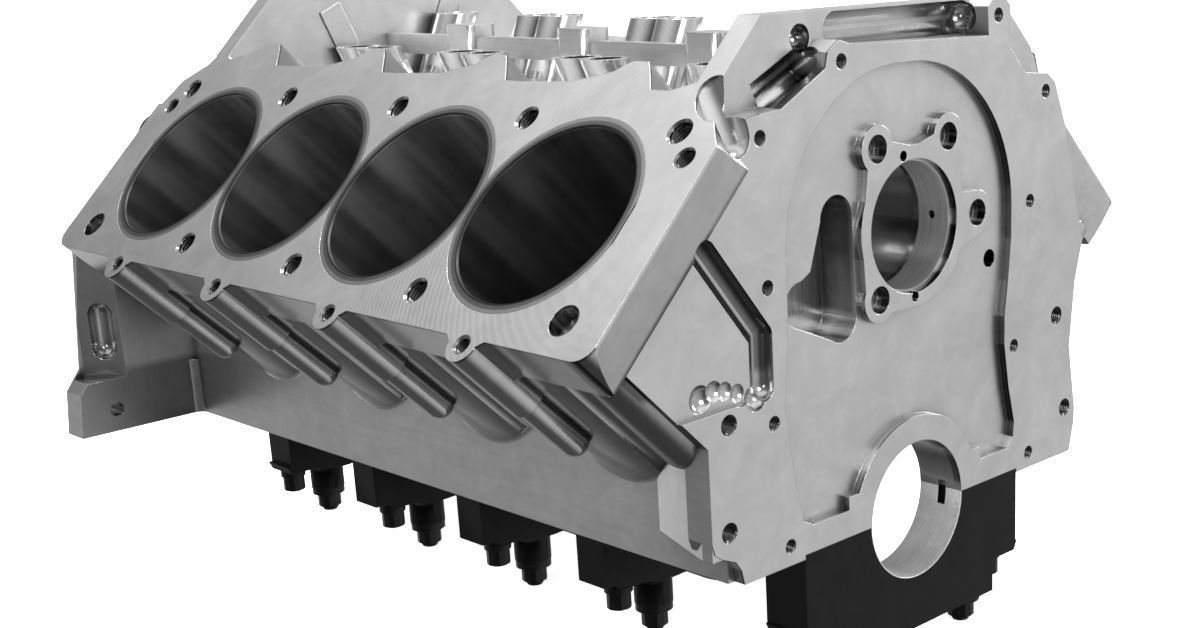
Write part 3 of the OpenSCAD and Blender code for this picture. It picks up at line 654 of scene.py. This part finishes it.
# The floor of the studio, a plain white sweep that lies level under the block and curves up into a
# round white wall far behind it.
floor_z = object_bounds()[0][2]
sweep_profile = [(5.0, 0.0), (5.6, 0.15), (6.0, 0.6), (6.2, 1.4), (6.2, 9.0)]
sweep_steps = 64
sweep_points = []
for ring_r, ring_h in sweep_profile:
    for step in range(sweep_steps):
        turned = 2 * math.pi * step / sweep_steps
        sweep_points.append((ring_r * math.cos(turned), ring_r * math.sin(turned), floor_z + ring_h))
sweep_faces = [tuple(range(sweep_steps))]
for ring in range(len(sweep_profile) - 1):
    for step in range(sweep_steps):
        low_here = ring * sweep_steps + step
        low_after = ring * sweep_steps + (step + 1) % sweep_steps
        sweep_faces.append((low_here, low_after, low_after + sweep_steps, low_here + sweep_steps))
floor_mesh = mesh_of("floor", sweep_points, sweep_faces)
floor = place("floor", floor_mesh)
floor_white = bpy.data.materials.new("floor_white")
floor_white.use_nodes = True
floor_shader = floor_white.node_tree.nodes["Principled BSDF"]
floor_shader.inputs["Base Color"].default_value = (0.9, 0.9, 0.9, 1)
floor_shader.inputs["Roughness"].default_value = 0.9
floor_shader.inputs["Emission Color"].default_value = (1, 1, 1, 1)
floor_shader.inputs["Emission Strength"].default_value = 0.75
floor_mesh.materials.append(floor_white)
floor.visible_glossy = False
floor.visible_shadow = False

# The camera, at the place from which the photograph was taken. Its lens is shifted, because the axis
# of the view isn't in the middle of the photograph.
camera_azimuth = math.radians(-46.87)
camera_height = math.radians(16.19)
camera_roll = math.radians(-1.68)
photo_w = 1196
photo_h = 628
focal_px = 1715.55
centre_px = (804.3, 417.3)
eye = Vector((-0.7558, -0.6167, 0.3418))

back = Vector((math.sin(camera_azimuth) * math.cos(camera_height),
               -math.cos(camera_azimuth) * math.cos(camera_height), math.sin(camera_height)))
right = (-back).cross(Vector((0, 0, 1))).normalized()
up = back.cross(right)
turn = Matrix.Rotation(camera_roll, 3, back)
basis = Matrix((turn @ right, turn @ up, back)).transposed()
camera_data = bpy.data.cameras.new("camera")
camera_data.sensor_width = 36
camera_data.lens = camera_data.sensor_width * focal_px / photo_w
camera_data.shift_x = (photo_w / 2 - centre_px[0]) / photo_w
camera_data.shift_y = (centre_px[1] - photo_h / 2) / photo_w
camera = place("camera", camera_data)
camera.matrix_world = Matrix.Translation(eye) @ basis.to_4x4()
bpy.context.scene.camera = camera
bpy.context.scene.view_settings.view_transform = "Standard"

# The studio's light: a bright ceiling, and dim walls with a few brighter panels, which give bare metal
# its contrast. Four soft lamps add the highlights.
# the ceiling's strengths, each with the heights of view at which it starts and is full
ceiling = ((1.0, 0.40, 0.85), (-0.4, 0.80, 1.0))
# each panel's direction, its strength, and the cosines at which its glow starts and is full
panels = (((0.63, -0.75, -0.2), 0.44, 0.3, 0.95),
          ((-0.7, 0.66, -0.26), 0.10, 0.6, 1.0),
          ((-0.65, 0.69, -0.32), 0.22, 0.95, 1.0),
          ((0.63, 0.75, -0.2), 0.30, 0.5, 1.0),
          ((-0.075, 0.973, -0.218), 0.40, 0.92, 1.0))
world = bpy.data.worlds.new("studio")
world.use_nodes = True
coordinates = Socket(world.node_tree, None).node("ShaderNodeTexCoord")
toward = Socket(world.node_tree, coordinates.outputs["Generated"])
upward = toward.dot((0, 0, 1))
glow = 0.07 + 0.13 * upward.rise(-0.5, 0.35)
for strength, start, full in ceiling:
    glow = glow + strength * upward.rise(start, full)
for direction, strength, start, full in panels:
    glow = glow + strength * toward.dot(direction).rise(start, full)
wire(world.node_tree.nodes["Background"], "Color", glow.grey())
bpy.context.scene.world = world

lamp_aim = Vector((0, 0.28, 0.1))


def soft_lamp(name, at, power, size):
    lamp = bpy.data.lights.new(name, "AREA")
    lamp.energy = power
    lamp.size = size
    made = place(name, lamp)
    made.location = at
    made.rotation_euler = (lamp_aim - Vector(at)).to_track_quat("-Z", "Y").to_euler()


soft_lamp("top_lamp", (0.3, 0.5, 2.4), 24, 0.8)
soft_lamp("right_lamp", (2.2, -0.6, 0.9), 14, 0.7)
soft_lamp("front_lamp", (-0.5, -2.4, 0.9), 20, 0.8)
soft_lamp("left_lamp", (-2.0, -1.5, 0.1), 4, 0.4)
